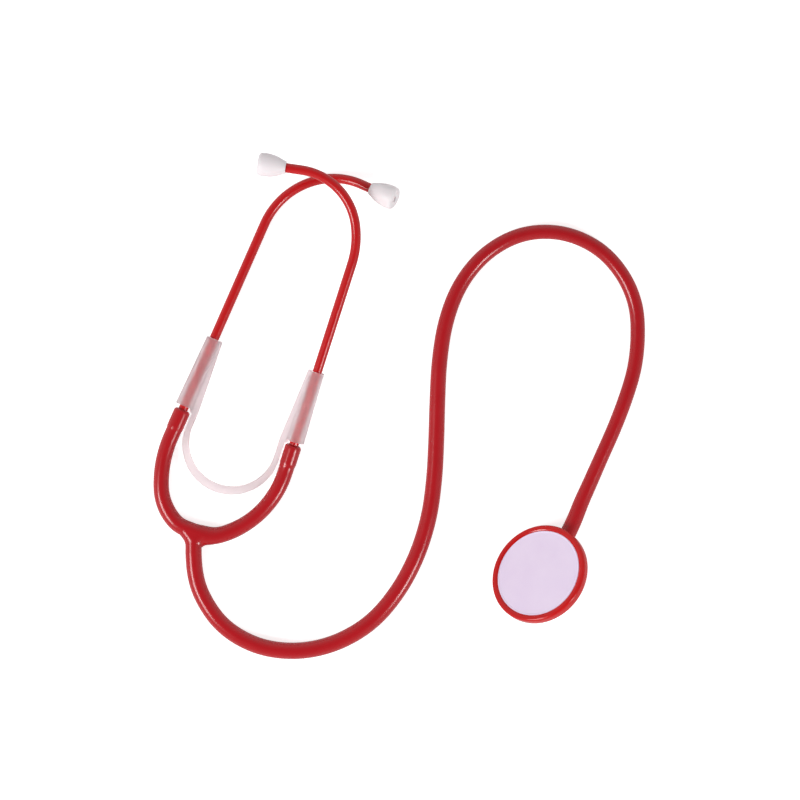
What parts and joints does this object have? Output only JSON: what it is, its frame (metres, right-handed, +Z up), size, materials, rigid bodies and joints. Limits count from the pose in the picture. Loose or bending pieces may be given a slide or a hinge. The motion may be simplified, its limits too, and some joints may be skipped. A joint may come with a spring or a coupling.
{
  "type": "toy stethoscope",
  "caption": "Toy stethoscope with a forked soft tube, two crossing bent ear tubes with soft tips, a springy clear yoke and a round chestpiece with a pale diaphragm.",
  "frame": {"origin": "On the surface that the toy lies on, under the middle of the toy's box measured without its free tube.", "axes": "Z is up. X runs to the right and Y away from the viewer, as the toy is seen from above in the picture."},
  "size_m": [0.2161, 0.2211, 0.0294],
  "materials": {
    "soft_red_tubing": "glossy soft moulded tubing, deep red",
    "frosted_yoke": "frosted see-through plastic, colourless with a faint pink cast",
    "hard_red_tube": "glossy hard plastic tube, deep red",
    "white_ear_tip": "soft satin off-white plastic",
    "red_dish": "glossy hard plastic, deep red",
    "bright_red_ring": "glossy hard plastic, orange red",
    "pale_diaphragm": "smooth matte thin plastic, pale lilac"
  },
  "bodies": {
    "tubing": {"fork": "soft_red_tubing", "left_arm": "soft_red_tubing", "right_arm": "soft_red_tubing", "main_tube": "soft_red_tubing", "tube_end": "soft_red_tubing", "spring_bow": "frosted_yoke"},
    "left_side": {"left_sleeve": "frosted_yoke"},
    "left_tube": {"left_ear_tube": "hard_red_tube"},
    "left_tip": {"left_ear_tip": "white_ear_tip"},
    "right_side": {"right_sleeve": "frosted_yoke"},
    "right_tube": {"right_ear_tube": "hard_red_tube"},
    "right_tip": {"right_ear_tip": "white_ear_tip"},
    "chestpiece": {"chest_body": "red_dish", "bezel_ring": "bright_red_ring", "diaphragm": "pale_diaphragm"}
  },
  "joints": [
    {"name": "left_spread", "type": "hinge", "parent": "tubing", "child": "left_side", "pos_m": [-0.07735, -0.03187, 0.0039], "axis": [0, 0, 1], "range_deg": [0, 36], "stiffness_Nm_per_rad": 0.1, "deforming": ["left_arm", "spring_bow"]},
    {"name": "right_spread", "type": "hinge", "parent": "tubing", "child": "right_side", "pos_m": [-0.05306, -0.04115, 0.0039], "axis": [0, 0, 1], "range_deg": [-36, 0], "stiffness_Nm_per_rad": 0.1, "deforming": ["right_arm", "spring_bow"]},
    {"name": "left_ear_tube_turn", "type": "hinge", "parent": "left_side", "child": "left_tube", "pos_m": [-0.08176, -0.00944, 0.00378], "axis": [0.4019, 0.9156, -0.0105], "range_deg": [0, 40]},
    {"name": "right_ear_tube_turn", "type": "hinge", "parent": "right_side", "child": "right_tube", "pos_m": [-0.03303, -0.02503, 0.0053], "axis": [0.3067, 0.944, 0.1219], "range_deg": [0, 40]},
    {"name": "left_tip_pull", "type": "slide", "parent": "left_tube", "child": "left_tip", "axis": [0.8695, -0.4049, 0.283], "range_m": [0, 0.012]},
    {"name": "right_tip_pull", "type": "slide", "parent": "right_tube", "child": "right_tip", "axis": [-0.9889, 0.1473, -0.0203], "range_m": [0, 0.012]},
    {"name": "chestpiece_turn", "type": "hinge", "parent": "tubing", "child": "chestpiece", "pos_m": [0.07724, -0.08346, 0.00976], "axis": [0.4439, 0.8798, -0.1699], "range_deg": [-180, 180]}
  ],
  "couplings": [
    {"joint": "right_spread", "follows": "left_spread", "ratio": -1}
  ]
}
